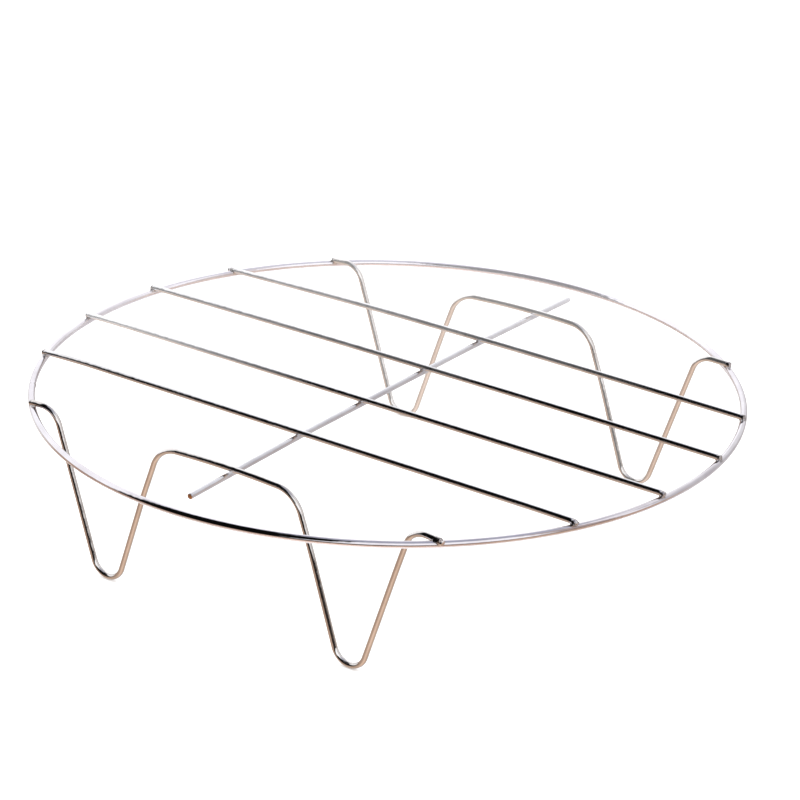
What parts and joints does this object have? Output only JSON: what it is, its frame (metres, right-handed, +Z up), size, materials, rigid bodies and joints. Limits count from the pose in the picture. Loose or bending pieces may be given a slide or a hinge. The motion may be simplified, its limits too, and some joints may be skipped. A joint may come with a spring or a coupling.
{
  "type": "cooling rack",
  "caption": "Round wire cooling rack: straight rungs and a cross brace welded to a hoop, on bent leg wires with V-shaped feet. It holds baked goods up in the air to cool.",
  "frame": {"origin": "on the surface that the feet stand on, under the centre of the hoop, which is the centre of the box's bottom", "axes": "+X along the rungs to the right, +Y across the rungs towards the back, +Z up"},
  "size_m": [0.3, 0.3, 0.07],
  "materials": {
    "ring_wire": "bright plated drawn steel wire",
    "rung_wire": "bright plated drawn steel wire",
    "leg_wire": "bright plated drawn steel wire, faint bend marks",
    "brace_wire": "bright plated drawn steel wire",
    "weld_bead": "dull plated weld bead, slightly rough and darker"
  },
  "bodies": {
    "root": {"ring": "ring_wire", "rung_1": "rung_wire", "rung_2": "rung_wire", "rung_3": "rung_wire", "rung_4": "rung_wire", "leg_wire_front": "leg_wire", "leg_wire_back": "leg_wire", "cross_brace": "brace_wire", "weld_ring_butt": "weld_bead", "weld_rung_1_brace": "weld_bead", "weld_rung_1_ring_left": "weld_bead", "weld_rung_1_ring_right": "weld_bead", "weld_rung_2_brace": "weld_bead", "weld_rung_2_ring_left": "weld_bead", "weld_rung_2_ring_right": "weld_bead", "weld_rung_3_brace": "weld_bead", "weld_rung_3_ring_left": "weld_bead", "weld_rung_3_ring_right": "weld_bead", "weld_rung_4_brace": "weld_bead", "weld_rung_4_ring_left": "weld_bead", "weld_rung_4_ring_right": "weld_bead", "weld_leg_wire_front_brace": "weld_bead", "weld_leg_wire_front_ring_left": "weld_bead", "weld_leg_wire_front_ring_right": "weld_bead", "weld_leg_wire_back_brace": "weld_bead", "weld_leg_wire_back_ring_left": "weld_bead", "weld_leg_wire_back_ring_right": "weld_bead"}
  },
  "joints": []
}
